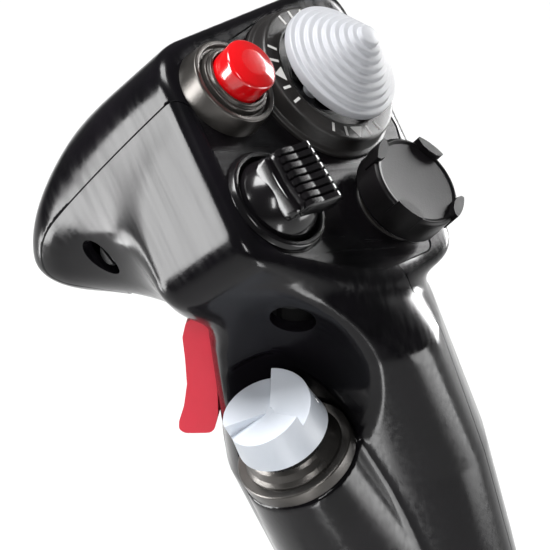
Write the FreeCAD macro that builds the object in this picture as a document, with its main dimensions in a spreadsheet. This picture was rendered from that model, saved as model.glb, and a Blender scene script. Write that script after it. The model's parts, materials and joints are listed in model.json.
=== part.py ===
"""Flight joystick: a hollow two-part grip with thumb controls, trigger and paddle, on a sprung base.

Frame: millimetres, +Z up, +Y forwards (away from the pilot), +X to the pilot's right.
The origin is the centre of the underside of the base.
"""
import FreeCAD, Part
import math
import os
import re

import Sketcher
from FreeCAD import Placement, Rotation, Vector

SIZES = {
    # Base
    "base_width": 160, "base_depth": 178, "base_corner": 22, "foot_height": 5, "foot_radius": 11,
    "plate_thickness": 4, "plate_inset": 3, "housing_side": 32, "housing_top": 66, "deck_width": 104,
    "deck_depth": 110, "wall": 2.6, "opening_radius": 28.6, "opening_ring_width": 6,
    "opening_ring_height": 2.4, "desk_spacing_x": 110, "desk_spacing_y": 120, "desk_hole": 3.0,
    "cover_spacing_x": 134, "cover_spacing_y": 152, "cover_hole": 2.0, "screw_head": 4.0,
    "screw_head_height": 2.2, "screw_length": 14, "foot_offset": 22, "socket_width": 12,
    "socket_height": 11, "socket_depth": 14, "socket_bottom": 14,
    # Gimbal
    "pivot_height": 40, "dome_radius": 38, "dome_wall": 2.2, "dome_angle": 64, "pin_radius": 4,
    "running_gap": 0.05, "seat_gap": 0.02, "ring_outer_x": 58, "ring_outer_y": 46, "ring_wall": 7,
    "ring_height": 18, "bearing_radius": 7, "bearing_width": 6, "post_inner": 40, "post_thickness": 8,
    "post_width": 26, "post_top": 50, "yoke_width": 20, "yoke_length": 26, "yoke_height": 24,
    "shaft_radius": 8, "shaft_bore": 1.9, "shaft_top": 96, "coil_radius": 6.4, "wire_radius": 0.8,
    "coil_pitch": 1.75, "coil_length": 3.4, "sensor_gap": 4.5,
    # Collar
    "nut_bottom": 82, "nut_height": 14, "nut_radius": 19.5, "collar_height": 14,
    "collar_radius": 17.5, "flange_radius": 21.5, "flange_height": 4,
    # Grip, measured from the point where the front seam meets the face
    "anchor_y": 54, "anchor_z": 274, "grip_twist": 14, "shell_wall": 2.5, "cup_wall": 1.2,
    "cup_depth": 5.5, "shell_screw": 1.4, "shell_screw_head": 2.9, "tube_radius": 7,
    "tube_bore": 5, "tube_length": 70, "board_thickness": 1.6,
    # Face: tilt of its normal above level, cant to the left, spin in its own plane
    "face_tilt": 47, "face_cant": 16.5, "face_spin": -30, "face_plate": 2.2, "face_ledge": 4.8,
    "face_corner": 3, "hat_hole": 6, "ball_hole": 9.6,
    # Trim hat
    "trim_u": 39.6, "trim_w": 2.1, "trim_ring": 16.2, "trim_ring_height": 4.8, "trim_radius": 13.2,
    "trim_base": 7.3, "trim_step": 1.3, "trim_tread": 1.36, "stem_radius": 1.7,
    # Fire button
    "button_u": 12, "button_w": 0.6, "barrel_foot": 10.1, "barrel_radius": 9.6, "barrel_height": 5,
    "barrel_bore": 6.3, "barrel_step": 0.8, "button_radius": 5.9, "button_top": 10.7,
    "button_crown": 1.0,
    # Left hat
    "ball_u": 13.3, "ball_w": -24.6, "ball_ring": 11.5, "ball_ring_height": 1.5, "ball_radius": 9.2,
    "ball_centre": -1, "cap_width": 13, "cap_length": 14, "cap_top": 12.6, "cap_bottom": 5.2,
    # Castle hat
    "castle_u": 43.9, "castle_w": -27, "castle_radius": 10.5, "castle_base": 2.6, "castle_deck": 9.6,
    "castle_top": 11.2, "castle_ring": 8, "castle_ring_height": 0.5, "lug_width": 4.6,
    # Switch modules under the face and in the pod
    "module_radius": 8.2, "module_depth": 11, "module_cavity": 5.4, "module_floor": 2,
    "pivot_depth": 6, "pivot_ring": 3.9, "pivot_bore": 2.6, "pivot_thickness": 2,
    "plunger_radius": 4.6, "plunger_thickness": 0.8,
    # Pod and side knob
    "pod_radius": 12.3, "pod_foot": 17, "pod_length": 52, "seat_height": 3, "seat_bore": 8.8,
    "bezel_radius": 10.9, "bezel_height": 2.6, "bezel_bore": 7.4, "knob_radius": 9.7,
    "knob_bottom": 5.2, "knob_deck": 12, "knob_ramp": 3,
    # Trigger and paddle
    "trigger_width": 12, "slot_gap": 0.6, "trigger_pin": 1.5, "bracket_wall": 1.5,
    "paddle_width": 15,
}

doc = FreeCAD.newDocument("FlightJoystick")
sheet = doc.addObject("Spreadsheet::Sheet", "Sizes")
for row, (alias, number) in enumerate(SIZES.items(), start=1):
    sheet.set(f"A{row}", str(number))
    sheet.setAlias(f"A{row}", alias)
doc.recompute()

HERE = Placement()
X_AXIS, Y_AXIS, Z_AXIS = Vector(1, 0, 0), Vector(0, 1, 0), Vector(0, 0, 1)
ALONG_X = Rotation(Y_AXIS, 90)
ALONG_Y = Rotation(X_AXIS, -90)
pieces = []


def size(alias):
    """The number in the sheet's cell."""
    return float(sheet.get(alias))


def formula(words):
    """An expression on the sheet, from the aliases' own names."""
    return re.sub(r"[a-z][a-z_]*", lambda word: "Sizes." + word.group(), str(words))


def at(x, y, z, turn=Rotation()):
    return Placement(Vector(x, y, z), turn)


def solid(kind, place=HERE, **sizes):
    """A primitive whose sizes are bound to the sheet."""
    item = doc.addObject("Part::" + kind, kind)
    for name, words in sizes.items():
        item.setExpression(name, formula(words))
    item.Placement = place
    return item


def cylinder(radius, height, place=HERE):
    return solid("Cylinder", place, Radius=radius, Height=height)


def cone(bottom, top, height, place=HERE):
    return solid("Cone", place, Radius1=bottom, Radius2=top, Height=height)


def block(length, width, height, low):
    """A box with its low corner at the vector low."""
    return solid("Box", Placement(low, Rotation()), Length=length, Width=width, Height=height)


def fuse(*items):
    if len(items) == 1:
        return items[0]
    joined = doc.addObject("Part::MultiFuse", "Joined")
    joined.Shapes = list(items)
    return joined


def cut(base, *tools):
    trimmed = doc.addObject("Part::Cut", "Trimmed")
    trimmed.Base = base
    trimmed.Tool = fuse(*tools)
    return trimmed


def piece(label, item, place=None):
    """Name a finished sub-part and put it in its place."""
    item.Label = label
    if place is not None:
        item.Placement = place
    pieces.append(item)
    return item


def feature(label, shape, place=HERE):
    """A sub-part whose shape comes from Part's own functions."""
    item = doc.addObject("Part::Feature", label)
    item.Shape = shape
    return piece(label, item, place)


def group(label, shapes):
    """Separate solids that share one node."""
    return feature(label, Part.makeCompound(shapes))


def sketch_on(body, role):
    """A sketch on one of the body's own origin planes."""
    sketch = body.newObject("Sketcher::SketchObject", "Sketch")
    plane = [item for item in body.Origin.OriginFeatures if item.Role == role][0]
    sketch.AttachmentSupport = [(plane, "")]
    sketch.MapMode = "FlatFace"
    return sketch


def outline(sketch, points):
    """A closed run of straight lines through the points."""
    first = sketch.GeometryCount
    ends = points[1:] + points[:1]
    for start, end in zip(points, ends):
        sketch.addGeometry(Part.LineSegment(Vector(*start, 0), Vector(*end, 0)), False)
    last = sketch.GeometryCount - 1
    for line in range(first, last):
        sketch.addConstraint(Sketcher.Constraint("Coincident", line, 2, line + 1, 1))
    sketch.addConstraint(Sketcher.Constraint("Coincident", last, 2, first, 1))


def circles(sketch, centres, radius):
    """Equal circles whose radius follows the sheet."""
    for x, y in centres:
        number = sketch.addGeometry(Part.Circle(Vector(x, y, 0), Z_AXIS, 1), False)
        bound = sketch.addConstraint(Sketcher.Constraint("Radius", number, 1))
        sketch.setExpression(f"Constraints[{bound}]", formula(radius))


def padded(body, sketch, length, both_ways=False):
    pad = body.newObject("PartDesign::Pad", "Pad")
    pad.Profile = sketch
    pad.setExpression("Length", formula(length))
    pad.Midplane = both_ways
    doc.recompute()
    return pad


def pocket(body, sketch, both_ways=False):
    """Cut right through."""
    opening = body.newObject("PartDesign::Pocket", "Pocket")
    opening.Profile = sketch
    opening.Type = "ThroughAll"
    opening.Midplane = both_ways
    doc.recompute()
    return opening


def rounded_edges(body, feature_to_round, direction, radius):
    """Fillet the edges that run along a direction of the body's own frame."""
    names = []
    for number, edge in enumerate(feature_to_round.Shape.Edges, start=1):
        along = edge.tangentAt(edge.FirstParameter)
        straight = abs(abs(along.dot(direction)) - 1) < 1e-6
        if straight and isinstance(edge.Curve, Part.Line):
            names.append(f"Edge{number}")
    fillet = body.newObject("PartDesign::Fillet", "Fillet")
    fillet.Base = (feature_to_round, names)
    fillet.setExpression("Radius", formula(radius))
    doc.recompute()
    return fillet


def coil(radius, wire, pitch, length):
    """A round-wire helix along +Z."""
    helix = Part.makeHelix(pitch, length, radius)
    section = Part.Wire(Part.makeCircle(wire, Vector(radius, 0, 0), Y_AXIS))
    return Part.Wire(helix.Edges).makePipeShell([section], True, True)


# ---------------------------------------------------------------- places

ANCHOR = Vector(0, size("anchor_y"), size("anchor_z"))


def face_axes():
    """Right, up and outward directions of the face, from its tilt, cant and spin."""
    tilt, cant, spin = (math.radians(size(name)) for name in ("face_tilt", "face_cant", "face_spin"))
    outward = Vector(-math.sin(cant) * math.cos(tilt), -math.cos(cant) * math.cos(tilt), math.sin(tilt))
    down = (outward * outward.z - Z_AXIS).normalize()
    across = outward.cross(down)
    face_down = down * math.cos(spin) + across * math.sin(spin)
    return outward.cross(face_down), face_down * -1, outward


FACE_RIGHT, FACE_UP, FACE_OUT = face_axes()
FACE = Placement(ANCHOR, Rotation(FACE_RIGHT, FACE_UP, FACE_OUT, "ZXY"))
POD_OUT = Vector(-0.30, 0.31, 0.90).normalize()
POD = Placement(ANCHOR + Vector(-18, -22, -69), Rotation(Z_AXIS, POD_OUT))
PIVOT = Vector(0, 0, size("pivot_height"))
TRIGGER_PIVOT = ANCHOR + Vector(0, -9, -48)
PADDLE_PIVOT = ANCHOR + Vector(0, -36, -152)


def on_face(name):
    """The place of a control on the face, from its own cells."""
    return FACE * at(size(name + "_u"), size(name + "_w"), 0)


TRIM, BUTTON, BALL, CASTLE = (on_face(name) for name in ("trim", "button", "ball", "castle"))


# ---------------------------------------------------------------- base

def rounded_rectangle(half_x, half_y, corner, z):
    """A wire with four straight sides and four quarter arcs."""
    edges = []
    for quarter in range(4):
        angle = math.radians(90 * quarter)
        sign_x = 1 if quarter in (0, 3) else -1
        sign_y = 1 if quarter in (0, 1) else -1
        centre = Vector(sign_x * (half_x - corner), sign_y * (half_y - corner), z)
        turned = [centre + Vector(corner * math.cos(angle + bend), corner * math.sin(angle + bend), 0)
                  for bend in (0, math.pi / 4, math.pi / 2)]
        edges.append(Part.Arc(*turned).toShape())
    sides = []
    for quarter in range(4):
        start = edges[quarter].Vertexes[-1].Point
        end = edges[(quarter + 1) % 4].Vertexes[0].Point
        sides += [edges[quarter], Part.makeLine(start, end)]
    return Part.Wire(sides)


def housing_block(inset, bottom):
    """The housing's outer form, or its hollow when inset by the wall."""
    side_top = size("housing_side") + 9 - inset / 2
    levels = ((bottom, "base_width", "base_depth", "base_corner"),
              (side_top, "base_width", "base_depth", "base_corner"),
              (size("housing_top") - inset, "deck_width", "deck_depth", "base_corner"))
    wires = [rounded_rectangle(size(width) / 2 - inset, size(depth) / 2 - inset,
                               size(corner) - inset, z) for z, width, depth, corner in levels]
    lower = Part.makeLoft(wires[:2], True, True)
    upper = Part.makeLoft(wires[1:], True, True)
    return lower.fuse(upper).removeSplitter()


plate_bottom = size("foot_height")
plate_top = plate_bottom + size("plate_thickness")


def corners(spacing_x, spacing_y):
    return [(sx * size(spacing_x) / 2, sy * size(spacing_y) / 2) for sx in (1, -1) for sy in (1, -1)]


cover_holes = corners("cover_spacing_x", "cover_spacing_y")


def base_housing():
    """The sloping cover and the flat deck that closes it."""
    hollow = housing_block(size("wall"), plate_top - 1)
    shell = housing_block(0, plate_top).cut(hollow)
    opening = Part.makeCylinder(size("opening_radius") + 3, 20, Vector(0, 0, size("housing_top") - 10))
    socket = Part.makeBox(size("socket_width") + 0.4, 10, size("socket_height") + 0.4,
                          Vector(-size("socket_width") / 2 - 0.2, size("base_depth") / 2 - 5,
                                 size("socket_bottom") - 0.2))
    bosses = [Part.makeCylinder(5, 16, Vector(x, y, plate_top)) for x, y in cover_holes]
    bores = [Part.makeCylinder(size("cover_hole"), 12, Vector(x, y, plate_top)) for x, y in cover_holes]
    shell = shell.fuse(bosses).cut([opening, socket] + bores)
    above = Part.makeBox(400, 400, 20, Vector(-200, -200, size("housing_top") - size("wall")))
    feature("base_housing", shell.cut(above).removeSplitter())
    feature("base_deck", shell.common(above).removeSplitter())


def base_plate():
    """A steel plate with four desk holes and four cover screws."""
    body = doc.addObject("PartDesign::Body", "BasePlate")
    half_x = size("base_width") / 2 - size("plate_inset")
    half_y = size("base_depth") / 2 - size("plate_inset")
    sheet_outline = sketch_on(body, "XY_Plane")
    outline(sheet_outline, [(half_x, half_y), (-half_x, half_y), (-half_x, -half_y), (half_x, -half_y)])
    pad = padded(body, sheet_outline, "plate_thickness")
    rounded_edges(body, pad, Z_AXIS, "base_corner - plate_inset")
    holes = sketch_on(body, "XY_Plane")
    circles(holes, corners("desk_spacing_x", "desk_spacing_y"), "desk_hole")
    circles(holes, cover_holes, "cover_hole")
    drilled = pocket(body, holes, both_ways=True)
    body.Tip = drilled
    piece("base_plate", body, at(0, 0, plate_bottom))


def feet_and_screws():
    feet = []
    screws = []
    for (x, y), (hole_x, hole_y) in zip(corners("desk_spacing_x", "desk_spacing_y"), cover_holes):
        offset = math.copysign(size("foot_offset"), y)
        foot = Part.makeCylinder(size("foot_radius"), plate_bottom, Vector(x, y - offset, 0))
        feet.append(foot)
        head = Part.makeCylinder(size("screw_head"), size("screw_head_height"),
                                 Vector(hole_x, hole_y, plate_bottom - size("screw_head_height")))
        shank = Part.makeCylinder(size("cover_hole") - size("seat_gap"), size("screw_length"),
                                  Vector(hole_x, hole_y, plate_bottom - 0.5))
        screws.append(head.fuse(shank).removeSplitter())
    group("rubber_feet", feet)
    group("base_screws", screws)


def opening_ring():
    """The trim ring that frames the dome."""
    ring = cut(cone("opening_radius + opening_ring_width + 2", "opening_radius + opening_ring_width",
                    "opening_ring_height"),
               cylinder("opening_radius", "opening_ring_height * 3",
                        at(0, 0, -size("opening_ring_height"))))
    piece("opening_ring", ring, at(0, 0, size("housing_top")))


def cable_socket():
    """The inlet for the data lead, in the back of the housing, open to the rear."""
    width, height, depth = (size("socket_" + name) for name in ("width", "height", "depth"))
    shell = cut(block("socket_width", "socket_depth", "socket_height", Vector(0, 0, 0)),
                block("socket_width - 2.4", "socket_depth - 2", "socket_height - 2.4",
                      Vector(1.2, 2.01, 1.2)))
    tongue = block("socket_width - 6", "socket_depth - 4", "3", Vector(3, 1, 4))
    piece("cable_socket", fuse(shell, tongue),
          at(-width / 2, size("base_depth") / 2 - depth, size("socket_bottom")))


def base_board():
    board = block("60", "34", "board_thickness", Vector(0, 0, 0))
    chip = block("12", "12", "1.6", Vector(12, 10, 1.6))
    plug = block("16", "6", "6", Vector(34, 24, 1.6))
    piece("base_board", fuse(board, chip, plug), at(-30, 36, plate_top + 3))


# ---------------------------------------------------------------- gimbal

def gimbal_frame():
    """A floor and two posts that carry the pitch bearings."""
    half_x = size("post_inner") + size("post_thickness")
    floor = block("2 * (post_inner + post_thickness)", "post_width", "4",
                  Vector(-half_x, -size("post_width") / 2, plate_top))
    posts = [block("post_thickness", "post_width", f"post_top - {plate_top}",
                   Vector(x, -size("post_width") / 2, plate_top))
             for x in (-half_x, size("post_inner"))]
    bore = cylinder("bearing_radius + seat_gap", "4 * post_inner", Placement(
        PIVOT - X_AXIS * 2 * size("post_inner"), ALONG_X))
    piece("gimbal_frame", cut(fuse(floor, *posts), bore))


def bearing(centre, turn):
    """A plain flanged bush on a cross axis, centred on a point."""
    place = Placement(centre, turn)
    lift = Vector(0, 0, -size("bearing_width") / 2)
    outer = Part.makeCylinder(size("bearing_radius"), size("bearing_width"), lift)
    inner = Part.makeCylinder(size("pin_radius") + size("running_gap"), 20, Vector(0, 0, -10))
    bush = outer.cut(inner)
    bush.Placement = place
    return bush


def gimbal():
    pivot = size("pivot_height")
    post_middle = size("post_inner") + size("post_thickness") / 2
    group("pitch_bearings", [bearing(Vector(x, 0, pivot), ALONG_X) for x in (-post_middle, post_middle)])
    half_x, half_y, half_height = (size("ring_" + name) / 2 for name in ("outer_x", "outer_y", "height"))
    wall = size("ring_wall")
    outer = block("ring_outer_x", "ring_outer_y", "ring_height",
                  Vector(-half_x, -half_y, pivot - half_height))
    inner = block("ring_outer_x - 2 * ring_wall", "ring_outer_y - 2 * ring_wall", "ring_height + 2",
                  Vector(wall - half_x, wall - half_y, pivot - half_height - 1))
    roll_bore = cylinder("bearing_radius + seat_gap", "200", at(0, -100, pivot, ALONG_Y))
    pitch_bore = cylinder("pin_radius + seat_gap", "200", at(-100, 0, pivot, ALONG_X))
    corner_limit = doc.addObject("Part::Common", "CornerLimit")
    corner_limit.Base = cut(outer, inner, roll_bore, pitch_bore)
    corner_limit.Tool = cylinder("dome_radius - 4", "2 * ring_height",
                                 at(0, 0, pivot - size("ring_height")))
    piece("gimbal_ring", corner_limit)
    pins = [Part.makeCylinder(size("pin_radius"), 26, Vector(x, 0, pivot), X_AXIS) for x in (-48.5, 22.5)]
    group("pitch_pins", pins)
    wall_middle = (size("ring_outer_y") - size("ring_wall")) / 2
    group("roll_bearings", [bearing(Vector(0, y, pivot), ALONG_Y) for y in (-wall_middle, wall_middle)])
    piece("roll_pin", cylinder("pin_radius", "52", at(0, -27, pivot, ALONG_Y)))
    yoke_corner = Vector(-size("yoke_width") / 2, -size("yoke_length") / 2, pivot - size("yoke_height") / 2)
    yoke = cut(block("yoke_width", "yoke_length", "yoke_height", yoke_corner),
               cylinder("pin_radius + seat_gap", "60", at(0, -30, pivot, ALONG_Y)))
    piece("stick_yoke", yoke)


def torsion_spring(label, centre, turn, side):
    """A coil round a pin with one straight leg against its frame."""
    spring = coil(size("coil_radius"), size("wire_radius"), size("coil_pitch"), size("coil_length"))
    leg = Part.makeCylinder(size("wire_radius"), 9, Vector(size("coil_radius"), 0, 0), Y_AXIS * side)
    feature(label, spring.fuse(leg), Placement(centre, turn))


def sensor(label, place):
    """A small square board on two standoffs, facing the end of a pin."""
    board = block("18", "18", "board_thickness", Vector(-9, -9, 0))
    standoffs = [cylinder("1.5", "sensor_gap", at(x, 0, -size("sensor_gap"))) for x in (-7.4, 7.4)]
    piece(label, fuse(board, *standoffs), place)


def dust_dome():
    """A spherical cap round the pivot, pierced for the shaft."""
    radius, angle = size("dome_radius"), math.radians(size("dome_angle"))
    ball = cut(solid("Sphere", Radius="dome_radius"), solid("Sphere", Radius="dome_radius - dome_wall"),
               block("4 * dome_radius", "4 * dome_radius", "2 * dome_radius",
                     Vector(-2 * radius, -2 * radius, radius * math.cos(angle) - 2 * radius)),
               cylinder("shaft_radius + seat_gap", "2 * dome_radius"))
    piece("dust_dome", ball, Placement(PIVOT, Rotation()))


def shaft_and_collar():
    shaft_bottom = size("pivot_height") + size("yoke_height") / 2
    shaft = cut(cylinder("shaft_radius", f"shaft_top - {shaft_bottom}"),
                cylinder("shaft_bore", "200", at(0, 0, -1)))
    piece("stick_shaft", shaft, at(0, 0, shaft_bottom))
    bore = cylinder("shaft_radius + seat_gap", "200", at(0, 0, -50))
    flutes = [cylinder("1.1", "nut_height", at(19.9 * math.cos(turn), 19.9 * math.sin(turn), 0))
              for turn in (math.radians(360 * count / 24) for count in range(24))]
    piece("ring_nut", cut(cylinder("nut_radius", "nut_height"), bore, *flutes),
          at(0, 0, size("nut_bottom")))
    collar_bottom = size("nut_bottom") + size("nut_height")
    collar = cut(fuse(cylinder("collar_radius", "collar_height"),
                      cylinder("flange_radius", "flange_height",
                               at(0, 0, size("collar_height") - size("flange_height")))),
                 cylinder("tube_bore", "200", at(0, 0, -50)))
    piece("connector_collar", collar, at(0, 0, collar_bottom))


# ---------------------------------------------------------------- grip shells

def plane_cut(shape, point, outward, inset, frame):
    """Keep what lies behind a plane that is moved in by inset."""
    reach = 260
    normal = frame.Rotation.multVec(Vector(*outward).normalize())
    foot = frame.multVec(Vector(*point)) - normal * inset
    tool = Part.makeBox(reach, reach, reach, Vector(-reach / 2, -reach / 2, 0))
    tool.Placement = Placement(foot, Rotation(Z_AXIS, normal))
    return shape.cut(tool)


HEAD_PLANES = (  # a point and an outward direction of each flat of the head, in the face's frame
    ((-5.5, 0, 0), (-1, 0, 0)),             # left flank
    ((-5, 8.8, 0), (-0.28, 0.96, 0)),       # brow beside the face
    ((-5.5, 8.8, -19), (-0.27, 0.93, -0.25)),
    ((-1, 0, 0.3), (-0.84, 0, 0.54)),       # bevel between face and flank
    ((-5, 0.5, -50), (-0.2, 0.65, -0.73)),
    ((0, 0, -55), (0, 0, -1)),              # nose tip
    ((60.5, -8, 0), (0.96, -0.28, 0)),      # right flank
    ((60.5, -8, -6), (0.76, -0.22, -0.62)),
    ((60.5, -8, 0), (0.98, 0.19, 0)),
    ((60.5, -8, -6), (0.77, 0.15, -0.62)),
    ((3, -36.5, 0), (-0.3, -0.95, 0)),      # heel of the face
    ((50.4, -41, 0), (0.25, -0.97, 0)),
    ((-5.5, -18, -26), (-0.97, -0.04, -0.24)),  # under the flank's fold
    ((-4, -30, -23), (-0.75, -0.6, -0.28)),
)
FACE_TOP = ((0, 0, 0.3), (0, 0, 1))
NOSE_UNDERSIDE = ((0, 0, -46), (0, 0, -1))

GRIP_LEVELS = (  # height, back, front, left, right, all from the anchor
    (-30, -39, -4, -17, 25),
    (-50, -49, -2.5, -19, 25),
    (-80, -58, -4.5, -16, 23),
    (-104, -63, -14, -15, 21.5),
    (-135, -69, -24, -16, 20),
    (-164, -76, -32, -18, 21),
)


SCREW_SEATS = (  # the mouth of each screw well, pointing outwards, and the well's radius
    (Placement(ANCHOR + Vector(-16.5, -23, -42.2), Rotation(Z_AXIS, Vector(-0.88, -0.12, -0.42))), 4.4),
    (Placement(ANCHOR + Vector(-8.6, 19.5, -32), Rotation(Z_AXIS, Vector(-0.8, 0.55, 0.05))), 3.4),
)

FACE_OUTLINE = ((3, 5), (3, -30), (8, -36), (20, -39.5), (34, -41.5), (50, -37.5), (57, -8), (52, 16),
                (46, 19.5), (30, 17))


def level_wire(height, back, front, left, right, inset):
    """A squarish closed curve round the grip at one height."""
    power = 2 / 3
    middle = Vector((left + right) / 2, (front + back) / 2, height)
    half_x, half_y = (right - left) / 2 - inset, (front - back) / 2 - inset
    turn = Rotation(Z_AXIS, size("grip_twist"))
    points = []
    for count in range(16):
        angle = math.radians(360 * count / 16)
        c, s = math.cos(angle), math.sin(angle)
        corner = Vector(half_x * math.copysign(abs(c) ** power, c),
                        half_y * math.copysign(abs(s) ** power, s), 0)
        points.append(ANCHOR + middle + turn.multVec(corner))
    curve = Part.BSplineCurve()
    curve.interpolate(points, PeriodicFlag=True)
    return Part.Wire(curve.toShape())


def grip_form(inset, face_inset):
    """Head, handle and pod in one solid, moved in by inset for the hollow."""
    reach = 240
    head = Part.makeBox(reach, reach, reach, ANCHOR - Vector(reach / 2, reach / 2, reach / 2))
    for point, outward in HEAD_PLANES:
        head = plane_cut(head, point, outward, inset, FACE)
    head = plane_cut(head, *FACE_TOP, face_inset, FACE)
    head = plane_cut(head, *NOSE_UNDERSIDE, inset, Placement(ANCHOR, Rotation()))
    levels = [level_wire(*level, inset) for level in GRIP_LEVELS]
    handle = Part.makeLoft(levels, True)
    pod = Part.makeCone(size("pod_foot") - inset, size("pod_radius") - inset,
                        size("pod_length") - size("seat_height"), Vector(0, 0, -size("pod_length")))
    pod.Placement = POD
    return head.fuse([handle, pod])


def face_prism(grow, top, bottom):
    """A block with the face plate's outline."""
    points = [Vector(u, w, bottom) for u, w in FACE_OUTLINE]
    wire = Part.makePolygon(points + points[:1])
    if grow:
        wire = wire.makeOffset2D(grow)
    prism = Part.Face(wire).extrude(Vector(0, 0, top - bottom))
    prism.Placement = FACE
    return prism


def bored(frame, radius, low, high):
    """A round bore, or a pin, along a place's own axis."""
    hole = Part.makeCylinder(radius, high - low, Vector(0, 0, low))
    hole.Placement = frame
    return hole


def knob_recess(wall):
    """The scallop that gives the side knob and its rings room, or that scallop with a wall round it."""
    return bored(POD, size("pod_radius") + 0.3 + wall, -size("seat_height") - wall, 26)


def shells():
    """The grip's two halves, with room for everything that passes through their walls."""
    wall = size("shell_wall")
    form = grip_form(0, 0).cut(knob_recess(0))
    hollow = grip_form(wall, size("face_ledge")).cut(knob_recess(wall))
    bosses = [Part.makeCylinder(4, 12, PADDLE_PIVOT + X_AXIS * x, X_AXIS) for x in (-21.6, 9.6)]
    cups = [bored(place, radius + size("cup_wall"), -size("cup_depth") - 1.5, 4)
            for place, radius in SCREW_SEATS]
    shell = form.cut(hollow).fuse([boss.common(form) for boss in bosses + cups])
    half_slot = size("trigger_width") / 2 + size("slot_gap")
    paddle_slot = size("paddle_width") / 2 + size("slot_gap")
    openings = [face_prism(0.2, 20, -size("face_plate"))]
    openings += [bored(place, size("module_radius") + 0.2, -14, 12)
                 for place in (TRIM, BUTTON, CASTLE)]
    openings += [bored(BALL, size("ball_hole"), -14, 12)]
    rings = ((TRIM, "trim_ring"), (BUTTON, "barrel_foot"), (BALL, "ball_ring"), (CASTLE, "castle_radius"))
    openings += [bored(place, size(radius) + 0.6, 0, 12) for place, radius in rings]
    openings += [bored(POD, size("module_radius") + 0.2, -16, 12)]
    openings += [Part.makeBox(2 * half_slot, 28, 33, ANCHOR + Vector(-half_slot, -15, -76.5))]
    openings += [Part.makeBox(18.8, 13.2, 12, TRIGGER_PIVOT + Vector(-9.4, -9.8, -5.5))]
    openings += [Part.makeBox(2 * paddle_slot, 40, 52, ANCHOR + Vector(-paddle_slot, -44, -159))]
    openings += [bored(Placement(PADDLE_PIVOT, ALONG_X), size("trigger_pin") + size("seat_gap"), -14, 14)]
    openings += [bored(Placement(ANCHOR, Rotation()) * at(0, -54, -175), size("tube_radius") + 0.02, 0, 30)]
    openings += [bored(place, radius, -size("cup_depth"), 8) for place, radius in SCREW_SEATS]
    openings += [bored(place, size("shell_screw") + size("seat_gap"), -20, 0) for place, _ in SCREW_SEATS]
    shell = shell.cut(openings)
    reach = 400
    for label, corner in (("shell_left", Vector(-reach, -reach / 2, 0)),
                          ("shell_right", Vector(0, -reach / 2, 0))):
        half = shell.common(Part.makeBox(reach, reach, reach, corner))
        feature(label, max(half.Solids, key=lambda part: part.Volume))


def shell_screws():
    """Two screws, each with its head on the floor of its well."""
    screws = []
    for place, _ in SCREW_SEATS:
        head = bored(place, size("shell_screw_head"), -size("cup_depth"), -size("cup_depth") + 2)
        shank = bored(place, size("shell_screw"), -size("cup_depth") - 7, -size("cup_depth"))
        screws.append(head.fuse(shank).removeSplitter())
    group("shell_screws", screws)


# ---------------------------------------------------------------- face

def face_plate():
    body = doc.addObject("PartDesign::Body", "FacePlate")
    edge = sketch_on(body, "XY_Plane")
    outline(edge, list(FACE_OUTLINE))
    pad = padded(body, edge, "face_plate")
    rounded_edges(body, pad, Z_AXIS, "face_corner")
    holes = sketch_on(body, "XY_Plane")
    circles(holes, [(size(name + "_u"), size(name + "_w")) for name in ("trim", "castle")], "hat_hole")
    circles(holes, [(size("button_u"), size("button_w"))], "barrel_bore")
    circles(holes, [(size("ball_u"), size("ball_w"))], "ball_hole")
    body.Tip = pocket(body, holes, both_ways=True)
    piece("face_plate", body, FACE * at(0, 0, -size("face_plate")))


def module(label, frame, top):
    """A round switch module with a hollow for its pivot ring."""
    lower = at(0, 0, top - size("module_depth"))
    cavity = at(0, 0, top - size("module_depth") + size("module_floor"))
    piece(label, cut(cylinder("module_radius", "module_depth", lower),
                     cylinder("module_cavity", "module_depth", cavity)), frame)


def pivot_ring(label, frame, centre):
    """The cross piece between a hat's two tilt axes."""
    low = at(0, 0, centre - size("pivot_thickness") / 2)
    piece(label, cut(cylinder("pivot_ring", "pivot_thickness", low),
                     cylinder("pivot_bore", "2 * pivot_thickness",
                              at(0, 0, centre - size("pivot_thickness")))), frame)


def plunger(label, frame, centre):
    """The spring plate that a hat pushes down."""
    piece(label, cylinder("plunger_radius", "plunger_thickness"), frame * at(0, 0, centre - 2.6))


def trim_switch():
    below = -size("face_plate")
    bezel = cut(cone("trim_ring + 0.4", "trim_ring", "trim_ring_height"),
                cylinder("hat_hole", "trim_ring_height * 3", at(0, 0, -5)),
                cylinder("trim_radius - 1.2", "trim_ring_height", at(0, 0, 1.6)))
    piece("trim_bezel", bezel, TRIM)
    module("trim_module", TRIM, below)
    pivot_ring("trim_pivot", TRIM, -size("pivot_depth"))
    steps = [cylinder(f"trim_radius - {count} * trim_tread", "trim_step + 0.01",
                      at(0, 0, size("trim_base") + count * size("trim_step"))) for count in range(9)]
    stem = cylinder("stem_radius", "trim_base + pivot_depth + 1.2", at(0, 0, -size("pivot_depth") - 1))
    piece("trim_hat", fuse(stem, *steps), TRIM)


def fire_button():
    height = size("barrel_height")
    barrel = cut(cone("barrel_foot", "barrel_radius", "barrel_height"),
                 cylinder("barrel_bore + 2 * barrel_step", "barrel_height", at(0, 0, height - 0.9)),
                 cylinder("barrel_bore + barrel_step", "barrel_height", at(0, 0, height - 2)),
                 cylinder("barrel_bore", "barrel_height * 3", at(0, 0, -height)))
    piece("button_barrel", barrel, BUTTON)
    cap = fuse(cylinder("button_radius", "button_top - 0.5", at(0, 0, 0.5)),
               cone("button_radius", "button_radius - button_crown", "button_crown",
                    at(0, 0, size("button_top"))),
               cylinder("stem_radius", "7", at(0, 0, -5)))
    piece("fire_button", cap, BUTTON)
    body = cut(cylinder("module_radius - 2", "7", at(0, 0, -13)),
               cylinder("stem_radius + 0.4", "5.5", at(0, 0, -8)))
    piece("button_switch", body, BUTTON)
    feature("button_spring", coil(3.2, 0.35, 1.5, 4.5), BUTTON * at(0, 0, -5))


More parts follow.
